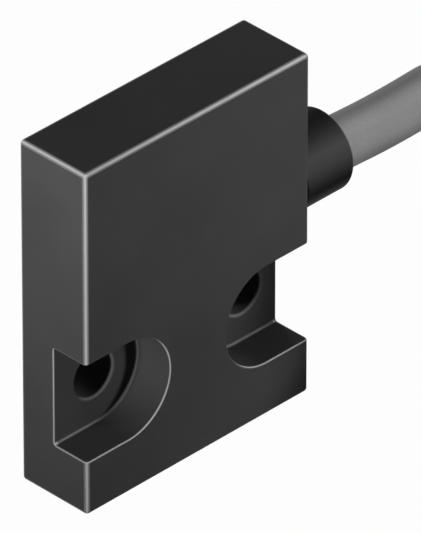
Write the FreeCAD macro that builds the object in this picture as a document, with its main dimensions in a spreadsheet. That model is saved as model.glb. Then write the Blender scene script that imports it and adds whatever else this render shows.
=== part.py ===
import FreeCAD, Part
import Sketcher
import math
import os

Vector = FreeCAD.Vector
Placement = FreeCAD.Placement
Rotation = FreeCAD.Rotation

# Flat rectangular position sensor with a moulded cable outlet, all sizes in millimetres.
# It stands on its narrow lower end: X runs along its width towards the cable, Y from the sensing
# front to the mounting back, Z up. The origin is the middle of the housing's lower end.

# Driving sizes. Each is set once here and reached by its name everywhere else.
SIZES = {
    # moulded housing
    "housing_width": 27.0,
    "housing_depth": 8.0,
    "housing_height": 35.0,
    "housing_rounding": 0.4,
    "side_wall": 1.4,
    "cavity_corner": 0.8,
    # screw slots, open to the sides, with their screw holes
    "slot_width": 10.0,
    "slot_depth": 4.0,
    "slot_middle": 10.5,
    "slot_reach": 5.1,
    "slot_floor_rounding": 0.25,
    "slot_rim_rounding": 0.15,
    "web_over_slots": 1.2,
    "screw_hole": 4.5,
    "screw_to_side": 4.5,
    "screw_shift": 0.3,
    "screw_hole_rounding": 0.3,
    # glued back cover
    "cover_ledge": 0.6,
    "cover_gap": 0.05,
    # circuit board and the posts that carry it
    "board_thickness": 0.8,
    "board_gap": 0.3,
    "post_height": 1.4,
    "post_diameter": 1.9,
    "post_inset": 1.7,
    "pin_diameter": 0.9,
    "pin_gap": 0.05,
    "pin_length": 1.1,
    "notch_gap": 0.3,
    "landing_gap": 0.2,
    # parts on the board: leaded and flat packages, then ceramic chips with capped ends
    "lead_thickness": 0.15,
    "lead_overlap": 0.25,
    "pad_inset": 0.3,
    "cap_proud": 0.02,
    "sensing_length": 4.4,
    "sensing_width": 3.0,
    "sensing_rise": 0.95,
    "sensing_pitch": 0.65,
    "sensing_lead_width": 0.24,
    "sensing_lead_reach": 1.0,
    "processor_length": 4.0,
    "processor_width": 4.0,
    "processor_rise": 0.75,
    "regulator_length": 2.5,
    "regulator_width": 4.5,
    "regulator_rise": 1.4,
    "regulator_pitch": 1.5,
    "regulator_lead_width": 0.45,
    "regulator_lead_reach": 0.9,
    "surge_length": 4.3,
    "surge_width": 2.6,
    "surge_rise": 2.0,
    "surge_pitch": 1.0,
    "surge_lead_width": 1.4,
    "surge_lead_reach": 0.45,
    "reverse_length": 2.7,
    "reverse_width": 1.6,
    "reverse_rise": 1.1,
    "reverse_pitch": 1.0,
    "reverse_lead_width": 0.55,
    "reverse_lead_reach": 0.5,
    "large_chip_length": 3.2,
    "large_chip_width": 1.6,
    "large_chip_rise": 1.5,
    "large_chip_cap": 0.5,
    "small_chip_length": 1.6,
    "small_chip_width": 0.8,
    "small_chip_rise": 0.75,
    "small_chip_cap": 0.3,
    "bead_length": 2.0,
    "bead_width": 1.25,
    "bead_rise": 0.9,
    "bead_cap": 0.4,
    # cable and its outlet
    "cable_diameter": 5.0,
    "cable_height": 20.9,
    "boss_wall": 1.44,
    "boss_length": 5.7,
    "boss_rounding": 0.4,
    "neck_wall": 0.45,
    "flange_thickness": 1.0,
    "flange_height": 6.8,
    "flange_gap": 0.1,
    "crimp_wall": 0.4,
    "crimp_length": 2.3,
    "crimp_front_gap": 0.1,
    "crimp_back_gap": 0.3,
    "jacket_stub": 0.8,
    # cores of the cable
    "core_diameter": 1.0,
    "core_gap": 0.44,
    "conductor_diameter": 0.6,
    "core_lift": 0.1,
    "core_straight": 0.9,
    "core_slope": 1.5,
    "core_landing": 1.7,
    "conductor_bare": 1.6,
    "solder_radius": 0.82,
    "solder_sink": 0.25,
    "solder_gap": 0.11,
    # stored coil, its ties and the stripped end
    "coil_radius": 27.0,
    "coil_columns": 2.0,
    "coil_layers": 3.0,
    "coil_slack": 0.1,
    "coil_start": 54.0,
    "coil_lead": 18.0,
    "coil_tail": 22.0,
    "tail_angle": 85.0,
    "cable_bend": 26.0,
    "tie_thickness": 0.8,
    "tie_width": 2.5,
    "tie_head": 4.4,
    "tie_head_height": 3.2,
    "tie_angle": 30.0,
    "core_first_run": 2.0,
    "core_bend_run": 7.0,
    "core_free": 10.0,
    "core_stripped": 4.0,
    "core_fan": 2.2,
    "floor_gap": 0.05,
}

# Share of the shorter run that each rounded corner of a route takes.
ARC_SHARE = 0.45
# A cut that leaves through a face runs on this far past it.
OVERRUN = 1.0
# How near an edge lies to the place that names it.
NEAR = 0.01
# The largest difference between a tube's volume and its section times its length, as a share.
VOLUME_SHARE = 0.01

doc = FreeCAD.newDocument("position_sensor")
sheet = doc.addObject("Spreadsheet::Sheet", "Sizes")
for row, (name, value) in enumerate(SIZES.items(), start=1):
    sheet.set(f"A{row}", name)
    sheet.set(f"B{row}", str(value))
    sheet.setAlias(f"B{row}", name)
doc.recompute()

nodes = []


def size(name):
    """A driving size, read back from the sheet."""
    return float(sheet.get(name))


def bind(item, **places):
    """Ties properties of an object to sizes: double underscores stand for dots."""
    for place, formula in places.items():
        item.setExpression(place.replace("__", "."), formula)


def keep(item, label):
    """Makes an object one of the part's pieces, under the name of its file."""
    item.Label = label
    nodes.append(item)
    return item


# Sketches and features for the moulded and cut pieces

def new_body(name):
    """An empty body."""
    return doc.addObject("PartDesign::Body", name)


def new_sketch(body, role, name, across="0", up="0", out="0"):
    """A sketch on one of the body's own planes, moved across, up and out of that plane."""
    sketch = body.newObject("Sketcher::SketchObject", name)
    plane = next(item for item in body.Origin.OriginFeatures if item.Role == role)
    sketch.AttachmentSupport = [(plane, "")]
    sketch.MapMode = "FlatFace"
    bind(
        sketch,
        AttachmentOffset__Base__x=across,
        AttachmentOffset__Base__y=up,
        AttachmentOffset__Base__z=out,
    )
    return sketch


def named_constraint(sketch, name, formula, *details):
    """A constraint with a size, tied to a formula."""
    index = sketch.addConstraint(Sketcher.Constraint(*details))
    sketch.renameConstraint(index, name)
    sketch.setExpression(f"Constraints.{name}", formula)


def draw_loop(sketch, corners):
    """Straight lines through the corners, joined end to end."""
    first = sketch.GeometryCount
    count = len(corners)
    for number, corner in enumerate(corners):
        following = corners[(number + 1) % count]
        sketch.addGeometry(Part.LineSegment(Vector(*corner, 0), Vector(*following, 0)), False)
    for number in range(count):
        here = first + number
        following = first + (number + 1) % count
        sketch.addConstraint(Sketcher.Constraint("Coincident", here, 2, following, 1))
    return first


def draw_rectangle(sketch, width, height):
    """A rectangle about the sketch's middle, its sides given as formulas."""
    across = evaluate(width) / 2
    up = evaluate(height) / 2
    corners = [(-across, -up), (across, -up), (across, up), (-across, up)]
    first = draw_loop(sketch, corners)
    for offset in (0, 2):
        sketch.addConstraint(Sketcher.Constraint("Horizontal", first + offset))
    for offset in (1, 3):
        sketch.addConstraint(Sketcher.Constraint("Vertical", first + offset))
    sketch.addConstraint(Sketcher.Constraint("Symmetric", first, 1, first + 2, 1, -1, 1))
    named_constraint(sketch, "wide", width, "DistanceX", first, 1, first, 2, 2 * across)
    named_constraint(sketch, "high", height, "DistanceY", first + 1, 1, first + 1, 2, 2 * up)


def draw_circle(sketch, diameter):
    """A circle about the sketch's middle, its diameter given as a formula."""
    radius = evaluate(diameter) / 2
    index = sketch.addGeometry(Part.Circle(Vector(0, 0, 0), Vector(0, 0, 1), radius), False)
    sketch.addConstraint(Sketcher.Constraint("Coincident", index, 3, -1, 1))
    named_constraint(sketch, "across", diameter, "Diameter", index, 2 * radius)


def draw_slot_end(sketch, side, width, run):
    """A half-round about the sketch's middle with straight sides that run out to one side."""
    radius = evaluate(width) / 2
    length = evaluate(run)
    turn = side * math.pi / 2
    circle = Part.Circle(Vector(0, 0, 0), Vector(0, 0, 1), radius)
    arc = sketch.addGeometry(Part.ArcOfCircle(circle, turn, turn + math.pi), False)
    begin = side * radius
    ends = [(0, begin), (side * length, begin), (side * length, -begin), (0, -begin)]
    lines = []
    for start, stop in zip(ends, ends[1:]):
        line = Part.LineSegment(Vector(*start, 0), Vector(*stop, 0))
        lines.append(sketch.addGeometry(line, False))
    away, far, back = lines
    sketch.addConstraint(Sketcher.Constraint("Coincident", arc, 3, -1, 1))
    sketch.addConstraint(Sketcher.Constraint("Tangent", arc, 1, away, 1))
    sketch.addConstraint(Sketcher.Constraint("Tangent", back, 2, arc, 2))
    sketch.addConstraint(Sketcher.Constraint("Coincident", away, 2, far, 1))
    sketch.addConstraint(Sketcher.Constraint("Coincident", far, 2, back, 1))
    sketch.addConstraint(Sketcher.Constraint("Horizontal", away))
    sketch.addConstraint(Sketcher.Constraint("Vertical", far))
    named_constraint(sketch, "round_end", f"({width}) / 2", "Radius", arc, radius)
    reach = f"{side} * ({run})"
    named_constraint(sketch, "run_out", reach, "DistanceX", -1, 1, far, 1, side * length)


def evaluate(formula):
    """The value of a formula in the sheet's names."""
    result = sheet.evalExpression(formula.replace("Sizes.", ""))
    return float(getattr(result, "Value", result))


def add_pad(body, sketch, name, length, backwards=False):
    """Thickens a sketch along its plane's outward direction, or against it."""
    pad = body.newObject("PartDesign::Pad", name)
    pad.Profile = sketch
    pad.Reversed = backwards
    bind(pad, Length=length)
    doc.recompute()
    return pad


def add_pocket(body, sketch, name, length, backwards=False):
    """Cuts a sketch into the body, and stops if the cut takes nothing away."""
    before = body.Shape.Volume
    pocket = body.newObject("PartDesign::Pocket", name)
    pocket.Profile = sketch
    pocket.Reversed = backwards
    bind(pocket, Length=length)
    doc.recompute()
    if not body.Shape.Volume < before:
        raise ValueError(f"{name} cuts nothing")
    return pocket


def add_rounding(body, name, radius, chosen):
    """Rounds the body's edges whose middle point the given test picks."""
    solid = body.Tip
    picked = []
    for number, edge in enumerate(body.Shape.Edges, start=1):
        middle = edge.valueAt((edge.FirstParameter + edge.LastParameter) / 2)
        if chosen(edge, middle):
            picked.append(f"Edge{number}")
    if not picked:
        raise ValueError(f"{name} finds no edge")
    rounding = body.newObject("PartDesign::Fillet", name)
    rounding.Base = (solid, picked)
    bind(rounding, Radius=radius)
    doc.recompute()
    return rounding


def near(value, target):
    """Whether two lengths are the same."""
    return abs(value - target) < NEAR


def is_ring(edge):
    """Whether an edge is a whole circle."""
    whole = len(edge.Vertexes) == 1 and not edge.Degenerated
    return whole and isinstance(edge.Curve, Part.Circle)


# Moulded housing: a block with rounded edges, two screw slots, and a cavity open at the back

NECK_DIAMETER = "Sizes.cable_diameter + 2 * Sizes.neck_wall"
# What is left of the depth in front of the crimped cable, and behind it.
CRIMP_RADIUS = "(Sizes.cable_diameter / 2 + Sizes.crimp_wall)"
FRONT_WALL = f"(Sizes.housing_depth / 2 - {CRIMP_RADIUS} - Sizes.crimp_front_gap)"
COVER_THICKNESS = f"(Sizes.housing_depth / 2 - {CRIMP_RADIUS} - Sizes.crimp_back_gap)"


def cavity_sizes():
    """Width and height of the cavity, and the height of its middle, as formulas."""
    width = "Sizes.housing_width - 2 * Sizes.side_wall"
    floor = "Sizes.slot_middle + Sizes.slot_width / 2 + Sizes.web_over_slots"
    roof = "Sizes.housing_height - Sizes.side_wall"
    return width, f"{roof} - ({floor})", f"({roof} + {floor}) / 2"


def post_places():
    """Where the board's posts stand, across and up, as formulas."""
    width, height, middle = cavity_sizes()
    side = f"(({width}) / 2 - Sizes.post_inset)"
    rise = f"(({height}) / 2 - Sizes.post_inset)"
    return [
        (f"-{side}", f"{middle} - {rise}"),
        (f"-{side}", f"{middle} + {rise}"),
        (side, f"{middle} + {rise}"),
    ]


def add_slots(body):
    """The two screw slots, half the housing deep, each open to its side."""
    half = size("housing_width") / 2
    for side, word in ((-1, "left"), (1, "right")):
        sketch = new_sketch(
            body,
            "XZ_Plane",
            f"{word}_slot_outline",
            across=f"{side} * (Sizes.housing_width / 2 - Sizes.slot_reach)",
            up="Sizes.slot_middle",
            out="Sizes.housing_depth / 2",
        )
        draw_slot_end(sketch, side, "Sizes.slot_width", f"Sizes.slot_reach + {OVERRUN}")
        add_pocket(body, sketch, f"{word}_slot", "Sizes.slot_depth")
    floor = size("slot_depth") - size("housing_depth") / 2

    def in_slot_corner(edge, middle):
        return near(middle.y, floor) and not near(abs(middle.x), half)

    add_rounding(body, "slot_floor_rounding", "Sizes.slot_floor_rounding", in_slot_corner)
    front = -size("housing_depth") / 2
    rounding = size("housing_rounding")
    low = size("slot_middle") - size("slot_width") / 2 - NEAR
    high = size("slot_middle") + size("slot_width") / 2 + NEAR
    inner = half - size("slot_reach") - size("slot_width") / 2 - NEAR

    def on_rim(edge, middle):
        box = edge.BoundBox
        if box.ZMin < low or box.ZMax > high or abs(middle.x) < inner:
            return False
        corner = math.hypot(abs(middle.x) - (half - rounding), middle.y - (front + rounding))
        on_corner = abs(middle.x) > half - rounding and near(corner, rounding)
        return near(middle.y, front) or near(abs(middle.x), half) or on_corner

    add_rounding(body, "slot_rim_rounding", "Sizes.slot_rim_rounding", on_rim)


def add_screw_holes(body):
    """A round hole through the floor of each slot, its two mouths rounded."""
    places = []
    for side, word in ((-1, "left"), (1, "right")):
        sketch = new_sketch(
            body,
            "XZ_Plane",
            f"{word}_screw_hole_outline",
            across=f"Sizes.screw_shift + {side} * (Sizes.housing_width / 2 - Sizes.screw_to_side)",
            up="Sizes.slot_middle",
            out="Sizes.housing_depth / 2",
        )
        draw_circle(sketch, "Sizes.screw_hole")
        add_pocket(body, sketch, f"{word}_screw_hole", "Sizes.housing_depth")
        half = size("housing_width") / 2 - size("screw_to_side")
        places.append(size("screw_shift") + side * half)
    radius = size("screw_hole") / 2

    def on_mouth(edge, middle):
        if not is_ring(edge):
            return False
        return near(edge.Curve.Radius, radius) and any(near(edge.Curve.Center.x, x) for x in places)

    add_rounding(body, "screw_hole_rounding", "Sizes.screw_hole_rounding", on_mouth)


def add_cavity(body):
    """The space for the electronics, a step around it for the cover, and the cable's hole."""
    width, height, middle = cavity_sizes()
    deep = f"Sizes.housing_depth - {FRONT_WALL}"
    behind = "-Sizes.housing_depth / 2"
    outline = new_sketch(body, "XZ_Plane", "cavity_outline", up=middle, out=behind)
    draw_rectangle(outline, width, height)
    add_pocket(body, outline, "cavity", deep, backwards=True)
    half = evaluate(width) / 2
    rise = evaluate(height) / 2
    centre = evaluate(middle)

    def in_cavity_corner(edge, point):
        return near(abs(point.x), half) and near(abs(point.z - centre), rise)

    add_rounding(body, "cavity_corners", "Sizes.cavity_corner", in_cavity_corner)
    step = new_sketch(body, "XZ_Plane", "cover_step_outline", up=middle, out=behind)
    ledge = "2 * Sizes.cover_ledge"
    draw_rectangle(step, f"{width} + {ledge}", f"{height} + {ledge}")
    add_pocket(body, step, "cover_step", COVER_THICKNESS, backwards=True)
    ledge_half = half + size("cover_ledge")
    ledge_rise = rise + size("cover_ledge")

    def in_step_corner(edge, point):
        return near(abs(point.x), ledge_half) and near(abs(point.z - centre), ledge_rise)

    step_corner = "Sizes.cavity_corner + Sizes.cover_ledge"
    add_rounding(body, "cover_step_corners", step_corner, in_step_corner)
    hole = new_sketch(
        body, "YZ_Plane", "cable_hole_outline", up="Sizes.cable_height", out="Sizes.housing_width / 2"
    )
    draw_circle(hole, NECK_DIAMETER)
    add_pocket(body, hole, "cable_hole", "Sizes.side_wall")


def add_posts(body):
    """Three posts from the front wall, each with a pin for the board."""
    wall = f"Sizes.housing_depth / 2 - {FRONT_WALL}"
    for number, (across, up) in enumerate(post_places(), start=1):
        post = new_sketch(body, "XZ_Plane", f"post_{number}_outline", across, up, wall)
        draw_circle(post, "Sizes.post_diameter")
        add_pad(body, post, f"post_{number}", "Sizes.post_height", backwards=True)
        pin = new_sketch(body, "XZ_Plane", f"pin_{number}_outline", across, up, wall)
        draw_circle(pin, "Sizes.pin_diameter")
        reach = "Sizes.post_height + Sizes.pin_length"
        add_pad(body, pin, f"pin_{number}", reach, backwards=True)


def make_housing():
    """The moulded shell that holds everything else."""
    body = new_body("housing")
    block = new_sketch(
        body, "XZ_Plane", "block_outline", up="Sizes.housing_height / 2", out="-Sizes.housing_depth / 2"
    )
    draw_rectangle(block, "Sizes.housing_width", "Sizes.housing_height")
    add_pad(body, block, "block", "Sizes.housing_depth")
    add_rounding(body, "outer_rounding", "Sizes.housing_rounding", lambda edge, middle: True)
    add_slots(body)
    add_screw_holes(body)
    add_cavity(body)
    add_posts(body)
    return keep(body, "housing")


def make_back_cover():
    """The plate glued into the step around the cavity, flush with the back."""
    body = new_body("back_cover")
    width, height, middle = cavity_sizes()
    play = "2 * (Sizes.cover_ledge - Sizes.cover_gap)"
    outline = new_sketch(body, "XZ_Plane", "cover_outline", up=middle, out="-Sizes.housing_depth / 2")
    draw_rectangle(outline, f"{width} + {play}", f"{height} + {play}")
    add_pad(body, outline, "plate", COVER_THICKNESS)
    corner = "Sizes.cavity_corner + Sizes.cover_ledge - Sizes.cover_gap"

    def upright(edge, point):
        ends = [vertex.Point for vertex in edge.Vertexes]
        return near(ends[0].x, ends[1].x) and near(ends[0].z, ends[1].z)

    add_rounding(body, "plate_corners", corner, upright)
    return keep(body, "back_cover")


# Circuit board and what is soldered to it

BOARD_FRONT = f"(Sizes.post_height + {FRONT_WALL} - Sizes.housing_depth / 2)"
BOARD_BACK = f"({BOARD_FRONT} + Sizes.board_thickness)"
JACKET_END = (
    "(Sizes.housing_width / 2 - Sizes.side_wall - Sizes.flange_thickness"
    " - Sizes.crimp_length - Sizes.jacket_stub)"
)
NOTCH_EDGE = f"({JACKET_END} - Sizes.core_straight - Sizes.core_slope - Sizes.landing_gap)"
NOTCH_TOP = "(Sizes.cable_height + Sizes.flange_height / 2 + Sizes.notch_gap)"


def make_circuit_board():
    """A glass-epoxy board on the posts, cut back at one corner for the cable."""
    body = new_body("circuit_board")
    width, height, middle = cavity_sizes()
    clear = "2 * Sizes.board_gap"
    front = f"-{BOARD_FRONT}"
    outline = new_sketch(body, "XZ_Plane", "board_outline", up=middle, out=front)
    draw_rectangle(outline, f"{width} - {clear}", f"{height} - {clear}")
    add_pad(body, outline, "board", "Sizes.board_thickness", backwards=True)
    floor = f"({middle} - ({height}) / 2)"
    side = "(Sizes.housing_width / 2 - Sizes.side_wall)"
    notch = new_sketch(
        body,
        "XZ_Plane",
        "notch_outline",
        across=f"({NOTCH_EDGE} + {side}) / 2",
        up=f"({floor} + {NOTCH_TOP}) / 2",
        out=front,
    )
    draw_rectangle(notch, f"{side} - {NOTCH_EDGE}", f"{NOTCH_TOP} - {floor}")
    add_pocket(body, notch, "notch", "Sizes.board_thickness")
    for number, (across, up) in enumerate(post_places(), start=1):
        hole = new_sketch(body, "XZ_Plane", f"pin_hole_{number}_outline", across, up, front)
        draw_circle(hole, "Sizes.pin_diameter + 2 * Sizes.pin_gap")
        add_pocket(body, hole, f"pin_hole_{number}", "Sizes.board_thickness")
    return keep(body, "circuit_board")


def add_box(name, across, up, out, sides):
    """A box from formulas: its low corner across, up and out, and its three sides."""
    box = doc.addObject("Part::Box", name)
    wide, deep, tall = sides
    bind(box, Length=wide, Width=deep, Height=tall)
    bind(box, Placement__Base__x=across, Placement__Base__y=out, Placement__Base__z=up)
    return box


def join(name, shapes):
    """Several shapes as one."""
    joined = doc.addObject("Part::MultiFuse", name)
    joined.Shapes = shapes
    return joined


def block_on_board(name, back, place, lift, sides):
    """A box on one face of the board, centred on a place, lifted off it, with width, height, rise."""
    across, up = place
    wide, tall, rise = sides
    near_face = f"{BOARD_BACK} + {lift}" if back else f"{BOARD_FRONT} - ({lift}) - ({rise})"
    return add_box(
        name, f"{across} - ({wide}) / 2", f"{up} - ({tall}) / 2", near_face, (wide, rise, tall)
    )


def board_place(label):
    """Where a part sits on the board, as formulas."""
    across, up = BOARD_PLACES[label]
    width, height, middle = cavity_sizes()
    return f"{across} * ({width})", f"{middle} + {up} * ({height})"


def make_chip(label, kind, back=True):
    """A ceramic part with a metal cap over each end, soldered flat on the board."""
    place = board_place(label)
    across, up = place
    wide, tall, rise = (f"Sizes.{kind}_{word}" for word in ("length", "width", "rise"))
    cap = f"Sizes.{kind}_cap"
    proud = "Sizes.cap_proud"
    ceramic = block_on_board(f"{label}_ceramic", back, place, proud, (wide, tall, rise))
    pieces = [ceramic]
    for side, word in ((-1, "left"), (1, "right")):
        middle = (f"{across} + {side} * ({wide} - {cap}) / 2", up)
        cap_sides = (f"{cap} + 2 * {proud}", f"{tall} + 2 * {proud}", f"{rise} + 2 * {proud}")
        pieces.append(block_on_board(f"{label}_{word}_cap", back, middle, "0", cap_sides))
    return keep(join(label, pieces), label)


def make_package(label, kind, leads, back=True):
    """A moulded package with leads along two sides, each a riser and a foot on the board."""
    place = board_place(label)
    across, up = place
    wide, tall, rise = (f"Sizes.{kind}_{word}" for word in ("length", "width", "rise"))
    strip = "Sizes.lead_thickness"
    package = block_on_board(f"{label}_moulding", back, place, strip, (wide, tall, rise))
    pieces = [package]
    for number in range(leads):
        step = f"Sizes.{kind}_pitch * {number - (leads - 1) / 2}"
        for side, word in ((-1, "left"), (1, "right")):
            reach = f"Sizes.{kind}_lead_reach"
            under = f"({reach} + Sizes.lead_overlap)"
            edge = f"{across} + {side} * ({wide}) / 2"
            foot_place = (f"{edge} + {side} * ({reach} - {under} / 2)", f"{up} + {step}")
            foot_sides = (under, f"Sizes.{kind}_lead_width", strip)
            name = f"{label}_{word}_foot_{number + 1}"
            pieces.append(block_on_board(name, back, foot_place, "0", foot_sides))
            riser_place = (f"{edge} + {side} * {strip} / 2", f"{up} + {step}")
            riser_sides = (strip, f"Sizes.{kind}_lead_width", f"{strip} + ({rise}) / 2")
            name = f"{label}_{word}_riser_{number + 1}"
            pieces.append(block_on_board(name, back, riser_place, "0", riser_sides))
    return keep(join(label, pieces), label)


def make_flat_package(label, kind, back=True):
    """A package without leads: its pads are underneath, set in from its edges."""
    place = board_place(label)
    wide, tall, rise = (f"Sizes.{kind}_{word}" for word in ("length", "width", "rise"))
    lift = "Sizes.lead_thickness"
    moulding = block_on_board(f"{label}_moulding", back, place, lift, (wide, tall, rise))
    inset = "2 * Sizes.pad_inset"
    pad = block_on_board(
        f"{label}_pad", back, place, "0", (f"{wide} - {inset}", f"{tall} - {inset}", lift)
    )
    return keep(join(label, [moulding, pad]), label)


# Where each part sits, across and up from the cavity's middle, as shares of its width and height.
BOARD_PLACES = {
    "sensing_chip": (0.0, 0.13),
    "signal_processor": (-0.3, 0.1),
    "voltage_regulator": (-0.3, 0.26),
    "surge_diode": (-0.31, -0.07),
    "reverse_diode": (-0.31, -0.3),
    "supply_capacitor": (-0.05, 0.32),
    "filter_capacitor": (-0.04, 0.14),
    "output_capacitor": (0.15, 0.32),
    "bias_resistor": (0.15, 0.14),
    "output_resistor": (0.33, 0.21),
    "ferrite_bead": (-0.05, -0.05),
}


def make_electronics():
    """Everything on the board: the sensing chip and the processor face the front wall."""
    return [
        make_package("sensing_chip", "sensing", leads=4, back=False),
        make_flat_package("signal_processor", "processor", back=False),
        make_package("voltage_regulator", "regulator", leads=3),
        make_package("surge_diode", "surge", leads=1),
        make_package("reverse_diode", "reverse", leads=1),
        make_chip("supply_capacitor", "large_chip"),
        make_chip("filter_capacitor", "small_chip"),
        make_chip("output_capacitor", "small_chip"),
        make_chip("bias_resistor", "small_chip"),
        make_chip("output_resistor", "small_chip"),
        make_chip("ferrite_bead", "bead"),
    ]


# Cable outlet: a soft moulded sleeve through the side wall, and the ring that grips the cable

def make_cable_grommet():
    """A round boss outside, a neck in the wall and a flange inside, with the cable's bore."""
    body = new_body("cable_grommet")
    side = "Sizes.housing_width / 2"
    height = "Sizes.cable_height"
    boss = new_sketch(body, "YZ_Plane", "boss_outline", up=height, out=side)
    draw_circle(boss, "Sizes.cable_diameter + 2 * Sizes.boss_wall")
    add_pad(body, boss, "boss", "Sizes.boss_length")
    tip = evaluate(f"{side} + Sizes.boss_length")

    def at_tip(edge, middle):
        return near(middle.x, tip) and is_ring(edge)

    add_rounding(body, "boss_rounding", "Sizes.boss_rounding", at_tip)
    neck = new_sketch(body, "YZ_Plane", "neck_outline", up=height, out=side)
    draw_circle(neck, NECK_DIAMETER)
    add_pad(body, neck, "neck", "Sizes.side_wall + Sizes.flange_thickness", backwards=True)
    front = f"({FRONT_WALL} + Sizes.flange_gap - Sizes.housing_depth / 2)"
    back = f"(Sizes.housing_depth / 2 - {COVER_THICKNESS} - Sizes.flange_gap)"
    flange = new_sketch(
        body,
        "YZ_Plane",
        "flange_outline",
        across=f"({front} + {back}) / 2",
        up=height,
        out=f"{side} - Sizes.side_wall",
    )
    draw_rectangle(flange, f"{back} - {front}", "Sizes.flange_height")
    add_pad(body, flange, "flange", "Sizes.flange_thickness", backwards=True)
    bore = new_sketch(
        body, "YZ_Plane", "bore_outline", up=height, out=f"{side} + Sizes.boss_length"
    )
    draw_circle(bore, "Sizes.cable_diameter")
    through = f"Sizes.boss_length + Sizes.side_wall + Sizes.flange_thickness + {OVERRUN}"
    add_pocket(body, bore, "bore", through)
    return keep(body, "cable_grommet")


def make_crimp_ring():
    """A metal ring pressed onto the jacket behind the flange, so that a pull can't draw it out."""
    body = new_body("crimp_ring")
    inner_face = "Sizes.housing_width / 2 - Sizes.side_wall - Sizes.flange_thickness"
    outer = new_sketch(body, "YZ_Plane", "ring_outline", up="Sizes.cable_height", out=inner_face)
    draw_circle(outer, "Sizes.cable_diameter + 2 * Sizes.crimp_wall")
    add_pad(body, outer, "ring", "Sizes.crimp_length", backwards=True)
    inner = new_sketch(body, "YZ_Plane", "ring_bore_outline", up="Sizes.cable_height", out=inner_face)
    draw_circle(inner, "Sizes.cable_diameter")
    add_pocket(body, inner, "ring_bore", "Sizes.crimp_length")
    return keep(body, "crimp_ring")


# Cable, its cores and what they are soldered to

def route_wire(points, label):
    """Straight runs between points, joined by tangent arcs as large as their two runs allow."""
    edges = []
    radii = []
    start = points[0]
    for before, corner, after in zip(points, points[1:], points[2:]):
        arriving = corner - before
        leaving = after - corner
        half_turn = arriving.getAngle(leaving) / 2
        reach = ARC_SHARE * min(arriving.Length, leaving.Length)
        radius = reach / math.tan(half_turn)
        arriving.normalize()
        leaving.normalize()
        inward = leaving - arriving
        inward.normalize()
        first = corner - arriving * reach
        last = corner + leaving * reach
        middle = corner + inward * (radius / math.cos(half_turn) - radius)
        edges.append(Part.LineSegment(start, first).toShape())
        edges.append(Part.Arc(first, middle, last).toShape())
        radii.append(round(radius, 2))
        start = last
    edges.append(Part.LineSegment(start, points[-1]).toShape())
    path = Part.Wire(edges)
    print(f"{label}: {path.Length:.1f} mm long, arc radii {radii}")
    return path


def make_tube(label, points, diameter):
    """A round solid along a route."""
    path = route_wire(points, label)
    radius = diameter / 2
    ring = Part.Wire([Part.makeCircle(radius, points[0], points[1] - points[0])])
    solid = path.makePipeShell([ring], True, True)
    expected = math.pi * radius ** 2 * path.Length
    if abs(solid.Volume / expected - 1) > VOLUME_SHARE:
        raise ValueError(f"{label} has {solid.Volume:.3f} mm3, not {expected:.3f}")
    tube = doc.addObject("Part::Feature", label)
    tube.Shape = solid
    tube.Placement = Placement()
    return keep(tube, label)


# The four cores in the jacket: on which side each lies, and whether above or below the middle.
CORES = {"brown": (1, 1), "white": (-1, 1), "blue": (-1, -1), "black": (1, -1)}
# Rows of pads or fanned cores, counted in pitches from the middle.
INNER_ROW = 0.5
OUTER_ROW = 1.5


def core_spread():
    """How far each core lies from the middle of the jacket, across and up."""
    return (size("core_diameter") + size("core_gap")) / 2


def make_inner_cores():
    """The four cores from the jacket's end to their pads, with bare ends in solder."""
    spread = core_spread()
    height = size("cable_height")
    pitch = 2 * size("solder_radius") + size("solder_gap")
    jacket_end = evaluate(JACKET_END)
    board_back = evaluate(BOARD_BACK)
    over_board = board_back + size("core_lift") + size("core_diameter") / 2
    tubes = []
    solders = []
    for colour, (out, up) in CORES.items():
        pad_row = OUTER_ROW if out > 0 else INNER_ROW
        pad_height = height + up * pad_row * pitch
        bend = jacket_end - size("core_straight")
        landing = bend - size("core_slope")
        stripped = landing - size("core_landing")
        end = stripped - size("conductor_bare")
        points = [
            Vector(jacket_end, out * spread, height + up * spread),
            Vector(bend, out * spread, height + up * spread),
            Vector(landing, over_board, pad_height),
            Vector(stripped, over_board, pad_height),
        ]
        tubes.append(make_tube(f"inner_core_{colour}", points, size("core_diameter")))
        wire = doc.addObject("Part::Cylinder", f"inner_conductor_{colour}")
        bind(wire, Radius="Sizes.conductor_diameter / 2", Height="Sizes.conductor_bare")
        wire.Placement = Placement(
            Vector(end, over_board, pad_height), Rotation(Vector(0, 1, 0), 90)
        )
        tubes.append(keep(wire, f"inner_conductor_{colour}"))
        solders.append(make_solder(colour, wire, Vector(end, board_back, pad_height)))
    return tubes + solders


def make_solder(colour, wire, tip):
    """A dome of solder on the board around the end of one conductor."""
    label = f"solder_joint_{colour}"
    radius = size("solder_radius")
    ball = doc.addObject("Part::Sphere", f"{label}_ball")
    bind(ball, Radius="Sizes.solder_radius")
    middle = tip + Vector(radius / 2, size("solder_sink"), 0)
    ball.Placement = Placement(middle, Rotation())
    above = doc.addObject("Part::Box", f"{label}_room")
    bind(above, Length="4 * Sizes.solder_radius", Width="4 * Sizes.solder_radius")
    bind(above, Height="4 * Sizes.solder_radius")
    corner = Vector(middle.x - 2 * radius, tip.y, middle.z - 2 * radius)
    above.Placement = Placement(corner, Rotation())
    dome = doc.addObject("Part::Common", f"{label}_dome")
    dome.Base = ball
    dome.Tool = above
    solder = doc.addObject("Part::Cut", label)
    solder.Base = dome
    solder.Tool = wire
    return keep(solder, label)


def turn_radius():
    """Radius of the coil's outer column of turns."""
    return size("coil_radius") + (size("coil_columns") - 1) * size("cable_diameter") / 2


def layer_height(layer):
    """Height of the middle of a layer of turns, counted from the lowest."""
    lift = size("tie_thickness") + size("coil_slack")
    return lift + (layer + 0.5) * size("cable_diameter")


def coil_middle():
    """Where the coil's axis meets the floor: its outer column passes in line with the outlet."""
    return Vector(size("coil_start"), -turn_radius(), 0)


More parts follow.
